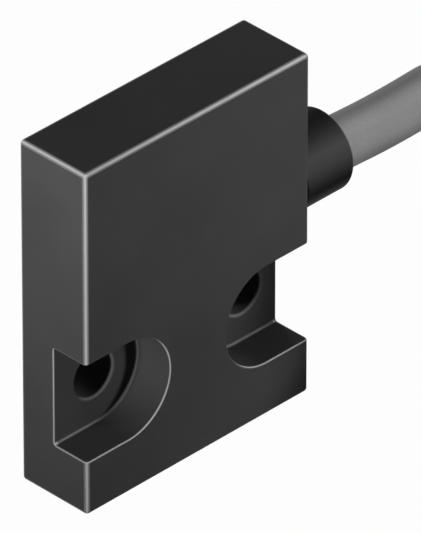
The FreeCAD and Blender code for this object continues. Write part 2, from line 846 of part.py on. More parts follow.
def lead_line():
    """The point where the cable meets the coil's top turn, and its direction, gently down."""
    meets = Vector(size("coil_start"), 0, layer_height(size("coil_layers") - 1))
    bend = Vector(size("cable_bend"), 0, size("cable_height"))
    heading = meets - bend
    heading.normalize()
    return meets, heading


def tail_line():
    """The point where the cable leaves the coil's lowest turn, and where its jacket ends."""
    angle = math.radians(90 - size("tail_angle"))
    outward = Vector(math.cos(angle), math.sin(angle), 0)
    heading = Vector(math.sin(angle), -math.cos(angle), 0)
    leaves = coil_middle() + outward * turn_radius() + Vector(0, 0, layer_height(0))
    end = leaves + heading * size("coil_tail")
    end.z = size("cable_diameter") / 2 + size("floor_gap")
    return leaves, end


def make_cable():
    """The jacket from inside the housing to the coil, straight out and then gently down."""
    height = size("cable_height")
    meets, heading = lead_line()
    points = [
        Vector(evaluate(JACKET_END), 0, height),
        Vector(size("cable_bend"), 0, height),
        meets - heading * size("coil_lead"),
    ]
    return make_tube("cable", points, size("cable_diameter"))


def draw_rounded_rectangle(sketch, word, width, height, corner):
    """A rectangle with round corners about the sketch's middle, its sizes given as formulas."""
    across = evaluate(width) / 2
    up = evaluate(height) / 2
    radius = evaluate(corner)
    flat = across - radius
    rise = up - radius
    lines = [
        ((-flat, -up), (flat, -up)),
        ((across, -rise), (across, rise)),
        ((flat, up), (-flat, up)),
        ((-across, rise), (-across, -rise)),
    ]
    centres = [(flat, -rise), (flat, rise), (-flat, rise), (-flat, -rise)]
    first = sketch.GeometryCount
    for start, stop in lines:
        sketch.addGeometry(Part.LineSegment(Vector(*start, 0), Vector(*stop, 0)), False)
    for number, centre in enumerate(centres):
        circle = Part.Circle(Vector(*centre, 0), Vector(0, 0, 1), radius)
        begin = (number - 1) * math.pi / 2
        sketch.addGeometry(Part.ArcOfCircle(circle, begin, begin + math.pi / 2), False)
    for number in range(4):
        line = first + number
        arc = first + 4 + number
        following = first + (number + 1) % 4
        sketch.addConstraint(Sketcher.Constraint("Tangent", line, 2, arc, 1))
        sketch.addConstraint(Sketcher.Constraint("Tangent", arc, 2, following, 1))
        if number:
            sketch.addConstraint(Sketcher.Constraint("Equal", first + 4, arc))
    sketch.addConstraint(Sketcher.Constraint("Horizontal", first))
    sketch.addConstraint(Sketcher.Constraint("Vertical", first + 1))
    sketch.addConstraint(Sketcher.Constraint("Symmetric", first, 1, first + 2, 1, -1, 1))
    sketch.addConstraint(Sketcher.Constraint("Symmetric", first, 2, first + 2, 2, -1, 1))
    named_constraint(sketch, f"{word}_corner", corner, "Radius", first + 4, radius)
    half_wide = f"({width}) / 2"
    half_high = f"({height}) / 2"
    named_constraint(
        sketch, f"{word}_wide", half_wide, "DistanceX", -1, 1, first + 1, 1, across
    )
    named_constraint(sketch, f"{word}_high", half_high, "DistanceY", -1, 1, first + 2, 1, up)


BUNDLE_WIDE = "(Sizes.coil_columns * Sizes.cable_diameter + 2 * Sizes.coil_slack)"
BUNDLE_HIGH = "(Sizes.coil_layers * Sizes.cable_diameter + 2 * Sizes.coil_slack)"
BUNDLE_CORNER = "(Sizes.cable_diameter / 2 + Sizes.coil_slack)"
BUNDLE_MIDDLE = f"(Sizes.tie_thickness + {BUNDLE_HIGH} / 2)"


def bundle_sketch(body, name):
    """A sketch on the bundle's section, beside the coil's axis."""
    return new_sketch(body, "XZ_Plane", name, across="Sizes.coil_radius", up=BUNDLE_MIDDLE)


def turn_about_axis(body, sketch, name, angle):
    """Turns a sketch about the body's upright axis."""
    turned = body.newObject("PartDesign::Revolution", name)
    turned.Profile = sketch
    axis = next(item for item in body.Origin.OriginFeatures if item.Role == "Z_Axis")
    turned.ReferenceAxis = (axis, [""])
    bind(turned, Angle=angle)
    doc.recompute()
    return turned


def make_cable_coil():
    """The outer shape of the stored turns, with the ends of the cable where they leave it."""
    ring = new_body("coil_ring")
    section = bundle_sketch(ring, "bundle_section")
    draw_rounded_rectangle(section, "bundle", BUNDLE_WIDE, BUNDLE_HIGH, BUNDLE_CORNER)
    turn_about_axis(ring, section, "turns", "360")
    ring.Placement = Placement(coil_middle(), Rotation())
    meets, heading = lead_line()
    lead = doc.addObject("Part::Cylinder", "coil_lead_in")
    bind(lead, Radius="Sizes.cable_diameter / 2", Height="Sizes.coil_lead")
    lead_start = meets - heading * size("coil_lead")
    lead.Placement = Placement(lead_start, Rotation(Vector(0, 0, 1), heading))
    leaves, end = tail_line()
    tail = doc.addObject("Part::Cylinder", "coil_lead_out")
    bind(tail, Radius="Sizes.cable_diameter / 2")
    tail.Height = leaves.distanceToPoint(end)
    tail.Placement = Placement(leaves, Rotation(Vector(0, 0, 1), end - leaves))
    return keep(join("cable_coil", [ring, lead, tail]), "cable_coil")


def make_cable_ties():
    """Two nylon ties around the turns, each a strap with its head on top."""
    ties = []
    span = size("tie_width") / size("coil_radius")
    for number in range(2):
        body = new_body(f"cable_tie_{number + 1}")
        section = bundle_sketch(body, f"strap_{number + 1}_section")
        draw_rounded_rectangle(section, "inner", BUNDLE_WIDE, BUNDLE_HIGH, BUNDLE_CORNER)
        more = "2 * Sizes.tie_thickness"
        draw_rounded_rectangle(
            section,
            "outer",
            f"{BUNDLE_WIDE} + {more}",
            f"{BUNDLE_HIGH} + {more}",
            f"{BUNDLE_CORNER} + Sizes.tie_thickness",
        )
        angle = "Sizes.tie_width / Sizes.coil_radius * 180 / pi"
        turn_about_axis(body, section, f"strap_{number + 1}", angle)
        head = new_sketch(
            body,
            "XY_Plane",
            f"head_{number + 1}_outline",
            across="Sizes.coil_radius",
            up="Sizes.tie_width / 2",
            out=f"{BUNDLE_MIDDLE} + {BUNDLE_HIGH} / 2",
        )
        draw_rectangle(head, "Sizes.tie_head", "Sizes.tie_head")
        add_pad(body, head, f"head_{number + 1}", "Sizes.tie_head_height")
        angle_here = math.radians(90 - size("tie_angle") - 180 * number) - span / 2
        turned = Rotation(Vector(0, 0, 1), math.degrees(angle_here))
        body.Placement = Placement(coil_middle(), turned)
        ties.append(keep(body, f"cable_tie_{number + 1}"))
    return ties


# Share of their fan that the stripped cores have where they reach the floor.
BENT_FAN = 0.8


def make_cable_end():
    """The four stripped cores at the end of the jacket, fanned out on the floor."""
    leaves, end = tail_line()
    slope = end - leaves
    slope.normalize()
    heading = Vector(slope.x, slope.y, 0)
    heading.normalize()
    aside = Vector(-heading.y, heading.x, 0)
    rise = aside.cross(slope)
    pieces = []
    spread = core_spread()
    low = size("core_diameter") / 2 + size("floor_gap")
    for colour, (across, up) in CORES.items():
        fan = across * (OUTER_ROW if up < 0 else INNER_ROW) * size("core_fan")
        start = end + aside * (across * spread) + rise * (up * spread)
        first = start + slope * size("core_first_run")
        bend = end + heading * size("core_bend_run") + aside * (fan * BENT_FAN)
        bend.z = low
        last = end + heading * size("core_free") + aside * fan
        last.z = low
        core = make_tube(f"end_core_{colour}", [start, first, bend, last], size("core_diameter"))
        pieces.append(core)
        wire = doc.addObject("Part::Cylinder", f"end_conductor_{colour}")
        bind(wire, Radius="Sizes.conductor_diameter / 2", Height="Sizes.core_stripped")
        wire.Placement = Placement(last, Rotation(Vector(0, 0, 1), last - bend))
        pieces.append(keep(wire, f"end_conductor_{colour}"))
    return pieces


def make_potting_resin(housing, held):
    """The resin that fills the cavity around everything in it."""
    width, height, middle = cavity_sizes()
    deep = f"Sizes.housing_depth - {FRONT_WALL} - {COVER_THICKNESS}"
    fill = add_box(
        "cavity_fill",
        f"-({width}) / 2",
        f"{middle} - ({height}) / 2",
        f"{FRONT_WALL} - Sizes.housing_depth / 2",
        (width, deep, height),
    )
    taken = doc.addObject("Part::Compound", "taken_room")
    taken.Links = [housing, *held]
    resin = doc.addObject("Part::Cut", "potting_resin")
    resin.Base = fill
    resin.Tool = taken
    return keep(resin, "potting_resin")


def check_model():
    """Stops before anything is written if a feature failed or a piece isn't a sound solid."""
    for item in doc.Objects:
        failed = {"Invalid", "Error"} & set(item.State)
        if failed:
            raise ValueError(f"{item.Label} is in state {sorted(failed)}")
    for item in nodes:
        if item.Shape.isNull() or not item.Shape.isValid() or not item.Shape.Solids:
            raise ValueError(f"{item.Label} is not a sound solid")


housing = make_housing()
make_back_cover()
board = make_circuit_board()
electronics = make_electronics()
grommet = make_cable_grommet()
ring = make_crimp_ring()
wiring = make_inner_cores()
cable = make_cable()
make_cable_coil()
make_cable_ties()
make_cable_end()
doc.recompute()
make_potting_resin(housing, [board, *electronics, grommet, ring, *wiring, cable])
doc.recompute()
check_model()

os.makedirs("parts", exist_ok=True)
for item in nodes:
    item.Shape.exportStep(f"parts/{item.Label}.step")
    print(f"{item.Label}: {item.Shape.Volume:.2f} mm3, {len(item.Shape.Solids)} solid")
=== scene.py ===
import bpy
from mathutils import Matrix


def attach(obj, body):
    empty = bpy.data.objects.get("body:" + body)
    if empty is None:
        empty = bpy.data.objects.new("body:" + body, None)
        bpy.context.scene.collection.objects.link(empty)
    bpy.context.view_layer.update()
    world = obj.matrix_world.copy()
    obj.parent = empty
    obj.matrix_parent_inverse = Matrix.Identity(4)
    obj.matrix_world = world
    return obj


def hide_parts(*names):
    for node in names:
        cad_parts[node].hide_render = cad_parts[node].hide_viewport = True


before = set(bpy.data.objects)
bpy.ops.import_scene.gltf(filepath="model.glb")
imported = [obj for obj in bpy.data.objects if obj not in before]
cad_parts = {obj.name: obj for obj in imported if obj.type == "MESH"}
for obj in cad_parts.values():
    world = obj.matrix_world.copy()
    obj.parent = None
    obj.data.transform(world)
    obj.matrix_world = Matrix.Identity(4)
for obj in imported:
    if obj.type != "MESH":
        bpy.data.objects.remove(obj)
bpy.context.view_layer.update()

import math

import bmesh
import bpy
from mathutils import Matrix, Vector

# Studio: a white sweep with a long lens, as for a catalogue picture.
# Soft light comes mostly from the left and the front, so that the top of the black housing stays
# the darkest face, its left side the lightest, and its rounded edges catch the light, with a
# highlight painted along them as well.

IMAGE_WIDTH = 421
IMAGE_HEIGHT = 533
PIXELS_PER_METRE = 11650.0
CAMERA_AZIMUTH = math.radians(-44.95)
CAMERA_ELEVATION = math.radians(33.9)
CAMERA_DISTANCE = 1.15
SENSOR_WIDTH = 36.0
HOUSING_MIDDLE = Vector((0.0, 0.0, 0.0175))
HOUSING_PIXEL = (165.4, 266.8)
FILL_LIGHT = 0.06


def linear(code):
    """An sRGB hex colour as the linear values that a shader takes."""
    channels = []
    for start in (1, 3, 5):
        value = int(code[start:start + 2], 16) / 255
        channels.append(value / 12.92 if value <= 0.04045 else ((value + 0.055) / 1.055) ** 2.4)
    return (*channels, 1.0)


def add_node(tree, kind, values=None, links=None, **settings):
    """A node with its settings, its socket values, and links into its sockets."""
    node = tree.nodes.new(kind)
    for name, value in settings.items():
        setattr(node, name, value)
    for socket, value in (values or {}).items():
        node.inputs[socket].default_value = value
    for socket, source in (links or {}).items():
        tree.links.new(source, node.inputs[socket])
    return node


def aim(item, target):
    """Turns a lamp or camera towards a point."""
    item.rotation_euler = (target - item.location).to_track_quat("-Z", "Y").to_euler()


towards_camera = Vector((
    math.sin(CAMERA_AZIMUTH) * math.cos(CAMERA_ELEVATION),
    -math.cos(CAMERA_AZIMUTH) * math.cos(CAMERA_ELEVATION),
    math.sin(CAMERA_ELEVATION),
))
to_the_right = Vector((math.cos(CAMERA_AZIMUTH), math.sin(CAMERA_AZIMUTH), 0.0))
upwards = to_the_right.cross(-towards_camera)
across = (IMAGE_WIDTH / 2 - HOUSING_PIXEL[0]) / PIXELS_PER_METRE
rise = (HOUSING_PIXEL[1] - IMAGE_HEIGHT / 2) / PIXELS_PER_METRE
picture_middle = HOUSING_MIDDLE + across * to_the_right + rise * upwards

camera_data = bpy.data.cameras.new("camera")
camera_data.type = "PERSP"
camera_data.sensor_fit = "HORIZONTAL"
camera_data.sensor_width = SENSOR_WIDTH
camera_data.lens = SENSOR_WIDTH * CAMERA_DISTANCE * PIXELS_PER_METRE / IMAGE_WIDTH
camera_data.clip_start = 0.05
camera_data.clip_end = 20.0
camera = bpy.data.objects.new("camera", camera_data)
camera.location = picture_middle + CAMERA_DISTANCE * towards_camera
aim(camera, picture_middle)
bpy.context.scene.collection.objects.link(camera)
bpy.context.scene.camera = camera
bpy.context.scene.view_settings.view_transform = "Standard"


def seen_as_white(tree):
    """1 for what the camera sees, also in a reflection or through something clear, and else 0."""
    rays = add_node(tree, "ShaderNodeLightPath")
    mirrored = add_node(tree, "ShaderNodeMath", operation="MAXIMUM", links={
        0: rays.outputs["Is Glossy Ray"], 1: rays.outputs["Is Transmission Ray"]})
    seen = add_node(tree, "ShaderNodeMath", operation="MAXIMUM", links={
        0: rays.outputs["Is Camera Ray"], 1: mirrored.outputs[0]})
    return seen.outputs[0]


# The room is plain white to look at, and gives the shading only a weak fill.
world = bpy.data.worlds.new("studio")
world.use_nodes = True
bpy.context.scene.world = world
tree = world.node_tree
tree.nodes.clear()
strength = add_node(tree, "ShaderNodeMix", {2: FILL_LIGHT, 3: 1.0}, {0: seen_as_white(tree)},
                    data_type="FLOAT")
sky = add_node(tree, "ShaderNodeBackground", {"Color": linear("#FFFFFF")},
               {"Strength": strength.outputs[0]})
add_node(tree, "ShaderNodeOutputWorld", links={"Surface": sky.outputs[0]})


def add_lamp(name, place, target, size, power, spread):
    """A soft box with a grid, which shines on a point."""
    lamp = bpy.data.lights.new(name, "AREA")
    lamp.shape = "SQUARE"
    lamp.size = size
    lamp.energy = power
    lamp.spread = math.radians(spread)
    holder = bpy.data.objects.new(name, lamp)
    holder.location = place
    aim(holder, Vector(target))
    bpy.context.scene.collection.objects.link(holder)


add_lamp("left_soft_box", (-0.40, 0.0, 0.09), (0.0, 0.0, 0.07), 0.05, 0.13, 30)
add_lamp("front_soft_box", (0.16, -0.42, 0.04), (0.035, 0.0, 0.066), 0.06, 0.09, 30)
add_lamp("right_soft_box", (0.36, -0.22, 0.28), (0.045, 0.0, 0.021), 0.05, 0.010, 14)
add_lamp("back_soft_box", (0.14, 0.36, 0.09), (0.03, 0.0, 0.02), 0.10, 0.04, 40)

# Floor: a sweep of matt white paper, wider than any view of the object shows. It looks plain
# white, with a trace of the object's own shadow on it.

WHITE_SHARE = 0.98
FLOOR_REACH = 3.0


def new_material(name):
    """An empty node material."""
    material = bpy.data.materials.new(name)
    material.use_nodes = True
    material.node_tree.nodes.clear()
    return material


corners = [(FLOOR_REACH * x, FLOOR_REACH * y, 0.0) for x, y in ((-1, -1), (1, -1), (1, 1), (-1, 1))]
floor_mesh = bpy.data.meshes.new("floor")
floor_mesh.from_pydata(corners, [], [(0, 1, 2, 3)])
floor = bpy.data.objects.new("floor", floor_mesh)
bpy.context.scene.collection.objects.link(floor)
paper = new_material("matt_white_paper")
tree = paper.node_tree
grey = add_node(tree, "ShaderNodeBsdfDiffuse", {"Color": linear("#808080")})
white = add_node(tree, "ShaderNodeEmission", {"Color": linear("#FFFFFF"), "Strength": 1.0})
share = add_node(tree, "ShaderNodeMath", {1: WHITE_SHARE}, {0: seen_as_white(tree)},
                 operation="MULTIPLY")
lit = add_node(tree, "ShaderNodeMixShader", links={
    0: share.outputs[0], 1: grey.outputs[0], 2: white.outputs[0]})
add_node(tree, "ShaderNodeOutputMaterial", links={"Surface": lit.outputs[0]})
floor_mesh.materials.append(paper)

# Housing: one block of black glass-filled PBT, injection moulded, 27 x 8 x 35 mm, with its two
# screw slots moulded in. The tool has a fine spark-eroded texture. The rounded edges are smoother
# than the faces, and a highlight is painted along them in a paler colour.

HALF_WIDTH, HALF_DEPTH, HALF_HEIGHT = 0.0135, 0.004, 0.0175
EDGE_ROUNDING = 0.0004
# How deep the front and the back count as outermost: less than the rims of the slots reach.
FACE_SKIN = 0.00012
# The tool's grain is finer than a pixel, so it is drawn 0.12 mm wide.
TOOL_GRAIN = 0.00012
MELT_CLOUDS = 0.009


def dress(material, *names):
    """Gives CAD nodes that keep their shape their finish."""
    for name in names:
        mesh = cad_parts[name].data
        mesh.materials.clear()
        mesh.materials.append(material)


housing_plastic = new_material("pbt_moulded_black")
tree = housing_plastic.node_tree
place = add_node(tree, "ShaderNodeTexCoord")
grain = add_node(tree, "ShaderNodeTexNoise", {"Scale": 1 / TOOL_GRAIN, "Detail": 2.0},
                 {"Vector": place.outputs["Object"]})
clouds = add_node(tree, "ShaderNodeTexNoise", {"Scale": 1 / MELT_CLOUDS, "Detail": 3.0},
                  {"Vector": place.outputs["Object"]})
# How far the surface turns away from the nearest of the block's six directions.
facing = add_node(tree, "ShaderNodeVectorMath", links={0: place.outputs["Normal"]},
                  operation="ABSOLUTE")
sides = add_node(tree, "ShaderNodeSeparateXYZ", links={0: facing.outputs[0]})
wider = add_node(tree, "ShaderNodeMath", links={0: sides.outputs["X"], 1: sides.outputs["Y"]},
                 operation="MAXIMUM")
widest = add_node(tree, "ShaderNodeMath", links={0: wider.outputs[0], 1: sides.outputs["Z"]},
                  operation="MAXIMUM")
# Painted highlight: paler from where a rounding begins, and the palest along its middle.
rounded = add_node(tree, "ShaderNodeValToRGB", links={0: widest.outputs[0]})
rounded.color_ramp.elements[0].position = 0.80
rounded.color_ramp.elements[0].color = (1.0, 1.0, 1.0, 1.0)
rounded.color_ramp.elements[1].position = 1.0
rounded.color_ramp.elements[1].color = (0.0, 0.0, 0.0, 1.0)
for position, share in ((0.90, 0.42), (0.985, 0.30)):
    rounded.color_ramp.elements.new(position).color = (share, share, share, 1.0)
# The walls of the slots turn too. Of the turned skin only the block's outermost takes the painted
# highlight, and what turns towards the front or the back, as the rims of the slots and the mouths
# of the holes do.
centred = add_node(tree, "ShaderNodeVectorMath", {1: (0.0, 0.0, HALF_HEIGHT)},
                   {0: place.outputs["Object"]}, operation="SUBTRACT")
from_middle = add_node(tree, "ShaderNodeVectorMath", links={0: centred.outputs[0]},
                       operation="ABSOLUTE")
skin_start = (HALF_WIDTH - EDGE_ROUNDING, HALF_DEPTH - FACE_SKIN, HALF_HEIGHT - EDGE_ROUNDING)
beyond = add_node(tree, "ShaderNodeVectorMath", {1: skin_start}, {0: from_middle.outputs[0]},
                  operation="SUBTRACT")
parts = add_node(tree, "ShaderNodeSeparateXYZ", links={0: beyond.outputs[0]})
farther = add_node(tree, "ShaderNodeMath", links={0: parts.outputs["X"], 1: parts.outputs["Y"]},
                   operation="MAXIMUM")
farthest = add_node(tree, "ShaderNodeMath", links={0: farther.outputs[0], 1: parts.outputs["Z"]},
                    operation="MAXIMUM")
outermost = add_node(tree, "ShaderNodeMath", {1: 0.0}, {0: farthest.outputs[0]},
                     operation="GREATER_THAN")
# The painted highlight is strongest on the edges that face up, to the front and to the left, where
# the light falls.
turned = add_node(tree, "ShaderNodeSeparateXYZ", links={0: place.outputs["Normal"]})
toward_upper_left = add_node(tree, "ShaderNodeMath", links={0: turned.outputs["Z"], 1: turned.outputs["X"]},
                    operation="SUBTRACT")
lit_side = add_node(tree, "ShaderNodeMapRange", {"From Min": -0.25, "From Max": 0.35},
                {"Value": toward_upper_left.outputs[0]}, interpolation_type="SMOOTHSTEP")
rim = add_node(tree, "ShaderNodeMath", {1: 0.15}, {0: sides.outputs["Y"]},
               operation="GREATER_THAN")
deep_rim = add_node(tree, "ShaderNodeMath", {1: 0.3}, {0: rim.outputs[0]}, operation="MULTIPLY")
edge = add_node(tree, "ShaderNodeMath", links={0: outermost.outputs[0], 1: deep_rim.outputs[0]},
                operation="MAXIMUM")
on_edge = add_node(tree, "ShaderNodeMath", links={0: rounded.outputs[0], 1: edge.outputs[0]},
                   operation="MULTIPLY")
long_edge = add_node(tree, "ShaderNodeMath", {1: -0.5, 2: 1.0}, {0: sides.outputs["X"]},
                     operation="MULTIPLY_ADD")
highlight_strength = add_node(tree, "ShaderNodeMath", links={0: lit_side.outputs[0], 1: long_edge.outputs[0]},
                operation="MULTIPLY")
painted_edge_highlight = add_node(tree, "ShaderNodeMath", links={0: on_edge.outputs[0], 1: highlight_strength.outputs[0]},
                  operation="MULTIPLY")
body = add_node(tree, "ShaderNodeValToRGB", links={0: clouds.outputs["Fac"]})
body.color_ramp.elements[0].position = 0.3
body.color_ramp.elements[0].color = linear("#303031")
body.color_ramp.elements[1].position = 0.7
body.color_ramp.elements[1].color = linear("#353536")
# Painted highlight: the paler grey is mixed into the body colour along the edges.
colour = add_node(tree, "ShaderNodeMix", {7: linear("#A2A2A2")},
                  {0: painted_edge_highlight.outputs[0], 6: body.outputs[0]}, data_type="RGBA")
polish = add_node(tree, "ShaderNodeMapRange", {"To Min": 0.75, "To Max": 0.5},
                  {"Value": painted_edge_highlight.outputs[0]})
pits = add_node(tree, "ShaderNodeBump", {"Strength": 0.1, "Distance": 0.00001},
                {"Height": grain.outputs["Fac"]})
skin = add_node(tree, "ShaderNodeBsdfPrincipled", {"IOR": 1.57, "Specular IOR Level": 0.02},
                {"Base Color": colour.outputs[2], "Roughness": polish.outputs[0],
                 "Normal": pits.outputs[0]})
add_node(tree, "ShaderNodeOutputMaterial", links={"Surface": skin.outputs[0]})
dress(housing_plastic, "housing")

# Circuit board: 0.8 mm glass-epoxy laminate, etched, with green solder mask over copper tracks
# about 0.3 mm wide. The cut edges show the pale laminate.

TRACK_SPACING = 0.0006

laminate = new_material("glass_epoxy_etched")
tree = laminate.node_tree
place = add_node(tree, "ShaderNodeTexCoord")
# The pattern lies in X and Y, and the board in X and Z.
laid = add_node(tree, "ShaderNodeMapping", {"Rotation": (math.radians(90), 0.0, 0.0)},
                {"Vector": place.outputs["Object"]})
squared = add_node(tree, "ShaderNodeTexBrick",
                   {"Scale": 1.0, "Color1": linear("#1D5A38"), "Color2": linear("#1A5234"),
                    "Mortar": linear("#2E7A4C"), "Mortar Size": TRACK_SPACING / 4,
                    "Brick Width": TRACK_SPACING * 9, "Row Height": TRACK_SPACING},
                   {"Vector": laid.outputs[0]}, offset=0.3)
facing = add_node(tree, "ShaderNodeSeparateXYZ", links={0: place.outputs["Normal"]})
flat = add_node(tree, "ShaderNodeMath", links={0: facing.outputs["Y"]}, operation="ABSOLUTE")
face = add_node(tree, "ShaderNodeMath", {1: 0.5}, {0: flat.outputs[0]}, operation="GREATER_THAN")
colour = add_node(tree, "ShaderNodeMix", {6: linear("#B9AE7C")},
                  {0: face.outputs[0], 7: squared.outputs["Color"]}, data_type="RGBA")
weave = add_node(tree, "ShaderNodeBump", {"Strength": 0.2, "Distance": 0.00003},
                 {"Height": squared.outputs["Fac"]})
skin = add_node(tree, "ShaderNodeBsdfPrincipled", {"Roughness": 0.35, "IOR": 1.55},
                {"Base Color": colour.outputs[2], "Normal": weave.outputs[0]})
add_node(tree, "ShaderNodeOutputMaterial", links={"Surface": skin.outputs[0]})
dress(laminate, "circuit_board")

# Packages: the sensing chip and the processor on the front, the regulator and two diodes behind.
# Black epoxy moulding compound, matt from its mould, with tinned feet next to the board.

BOARD_FRONT = -0.0016
BOARD_BACK = -0.0008
FOOT_HEIGHT = 0.00016
MOULD_GRAIN = 0.00006

for side, board_face, names in (
    ("front", BOARD_FRONT, ("sensing_chip", "signal_processor")),
    ("back", BOARD_BACK, ("voltage_regulator", "surge_diode", "reverse_diode")),
):
    package = new_material(f"epoxy_moulded_{side}")
    tree = package.node_tree
    place = add_node(tree, "ShaderNodeTexCoord")
    parts = add_node(tree, "ShaderNodeSeparateXYZ", links={0: place.outputs["Object"]})
    off_board = add_node(tree, "ShaderNodeMath", {1: board_face}, {0: parts.outputs["Y"]},
                         operation="SUBTRACT")
    height = add_node(tree, "ShaderNodeMath", links={0: off_board.outputs[0]},
                      operation="ABSOLUTE")
    foot = add_node(tree, "ShaderNodeMath", {1: FOOT_HEIGHT}, {0: height.outputs[0]},
                    operation="LESS_THAN")
    grain = add_node(tree, "ShaderNodeTexNoise", {"Scale": 1 / MOULD_GRAIN, "Detail": 2.0},
                     {"Vector": place.outputs["Object"]})
    tone = add_node(tree, "ShaderNodeValToRGB", links={0: grain.outputs["Fac"]})
    tone.color_ramp.elements[0].color = linear("#242425")
    tone.color_ramp.elements[1].color = linear("#303031")
    pits = add_node(tree, "ShaderNodeBump", {"Strength": 0.3, "Distance": 0.00001},
                    {"Height": grain.outputs["Fac"]})
    moulding = add_node(tree, "ShaderNodeBsdfPrincipled", {"Roughness": 0.6, "IOR": 1.55},
                        {"Base Color": tone.outputs[0], "Normal": pits.outputs[0]})
    plated = add_node(tree, "ShaderNodeBsdfPrincipled",
                      {"Base Color": linear("#C6C6C2"), "Metallic": 1.0, "Roughness": 0.3},
                      {"Normal": pits.outputs[0]})
    skin = add_node(tree, "ShaderNodeMixShader",
                    links={0: foot.outputs[0], 1: moulding.outputs[0], 2: plated.outputs[0]})
    add_node(tree, "ShaderNodeOutputMaterial", links={"Surface": skin.outputs[0]})
    dress(package, *names)

# Chip capacitors, resistors and the ferrite bead: fired ceramic blocks, a tinned cap over each end.
# The capacitors are tan, the resistors black and the bead a dark grey ferrite.

CERAMICS = {
    "capacitor": ("#B08A60", "#C29C72", 0.17, ("supply_capacitor", "filter_capacitor",
                                               "output_capacitor")),
    "resistor": ("#1E1F22", "#2A2B2E", 0.19, ("bias_resistor", "output_resistor")),
    "ferrite": ("#3A3B3D", "#4A4B4E", 0.2, ("ferrite_bead",)),
}
FIRED_GRAIN = 0.00005

for kind, (dark, light, cap_share, names) in CERAMICS.items():
    ceramic = new_material(f"ceramic_fired_{kind}")
    tree = ceramic.node_tree
    place = add_node(tree, "ShaderNodeTexCoord")
    parts = add_node(tree, "ShaderNodeSeparateXYZ", links={0: place.outputs["Generated"]})
    off_middle = add_node(tree, "ShaderNodeMath", {1: 0.5}, {0: parts.outputs["X"]},
                          operation="SUBTRACT")
    reach = add_node(tree, "ShaderNodeMath", links={0: off_middle.outputs[0]},
                     operation="ABSOLUTE")
    cap = add_node(tree, "ShaderNodeMath", {1: 0.5 - cap_share}, {0: reach.outputs[0]},
                   operation="GREATER_THAN")
    grain = add_node(tree, "ShaderNodeTexNoise", {"Scale": 1 / FIRED_GRAIN, "Detail": 3.0},
                     {"Vector": place.outputs["Object"]})
    tone = add_node(tree, "ShaderNodeValToRGB", links={0: grain.outputs["Fac"]})
    tone.color_ramp.elements[0].color = linear(dark)
    tone.color_ramp.elements[1].color = linear(light)
    fired = add_node(tree, "ShaderNodeBsdfPrincipled", {"Roughness": 0.45, "IOR": 1.7},
                     {"Base Color": tone.outputs[0]})
    tin = add_node(tree, "ShaderNodeBsdfPrincipled",
                   {"Base Color": linear("#C8C8C6"), "Metallic": 1.0, "Roughness": 0.32})
    skin = add_node(tree, "ShaderNodeMixShader",
                    links={0: cap.outputs[0], 1: fired.outputs[0], 2: tin.outputs[0]})
    add_node(tree, "ShaderNodeOutputMaterial", links={"Surface": skin.outputs[0]})
    dress(ceramic, *names)

# Cable sleeve: soft black rubber (TPE), moulded, pressed through the side wall. Smoother than the
# housing. Its colour carries a painted highlight along its upper round side and painted shade
# underneath.

RUBBER_BLOOM = 0.0015


def facing_up(tree, place):
    """How far the surface faces up: 0 underneath, 0.5 on a wall and 1 on top."""
    turned = add_node(tree, "ShaderNodeSeparateXYZ", links={0: place.outputs["Normal"]})
    share = add_node(tree, "ShaderNodeMath", {1: 0.5, 2: 0.5}, {0: turned.outputs["Z"]},
                     operation="MULTIPLY_ADD")
    return share.outputs[0]


sleeve_rubber = new_material("tpe_moulded_black")
tree = sleeve_rubber.node_tree
place = add_node(tree, "ShaderNodeTexCoord")
bloom = add_node(tree, "ShaderNodeTexNoise", {"Scale": 1 / RUBBER_BLOOM, "Detail": 3.0},
                 {"Vector": place.outputs["Object"]})
sheen = add_node(tree, "ShaderNodeMapRange", {"To Min": 0.36, "To Max": 0.48},
                 {"Value": bloom.outputs["Fac"]})
pits = add_node(tree, "ShaderNodeBump", {"Strength": 0.2, "Distance": 0.00001},
                {"Height": bloom.outputs["Fac"]})
# Painted highlight along its upper sides and painted shade underneath, set by which way the surface
# faces.
tone = add_node(tree, "ShaderNodeValToRGB", links={0: facing_up(tree, place)})
tone.color_ramp.elements[0].position = 0.4
tone.color_ramp.elements[0].color = linear("#0C0C0D")
tone.color_ramp.elements[1].color = linear("#1C1C1D")
tone.color_ramp.elements.new(0.8).color = linear("#39393A")
skin = add_node(tree, "ShaderNodeBsdfPrincipled", {"IOR": 1.5, "Specular IOR Level": 0.01},
                {"Base Color": tone.outputs[0], "Roughness": sheen.outputs[0],
                 "Normal": pits.outputs[0]})
add_node(tree, "ShaderNodeOutputMaterial", links={"Surface": skin.outputs[0]})
dress(sleeve_rubber, "cable_grommet")

# Cable: a round flexible lead with an extruded PVC jacket over four cores. It leaves the sleeve
# straight, droops a little, and what the picture doesn't show is wound for storage in a neat coil
# that two ties hold. Near its end it comes off the coil and its four cores are stripped.

CABLE_DIAMETER = 0.005
COIL_MIDDLE = Vector((0.054, -0.0295, 0.0))
TURN_RADII = (0.0295, 0.0245)
LAYERS = (0.0034, 0.0084, 0.0134)
# Points that steer the line in each turn, steps drawn from one to the next, and round a quarter.
POINTS_PER_TURN = 36
STEPS_BETWEEN = 8
STEPS_AROUND = 6
# The route from inside the housing to the coil, and where it leaves the coil again.
ROUTE_IN = [
    (0.0080, 0.0, 0.0209),
    (0.0190, 0.0, 0.0206),
    (0.0270, 0.0, 0.02015),
    (0.0360, 0.0, 0.0206),
    (0.0450, 0.0, 0.0163),
    (0.0505, 0.0, 0.0139),
]
ROUTE_OUT = [
    (0.08391, -0.03290, 0.0032),
    (0.08470, -0.04190, 0.0028),
    (0.085305, -0.048845, 0.00255),
]
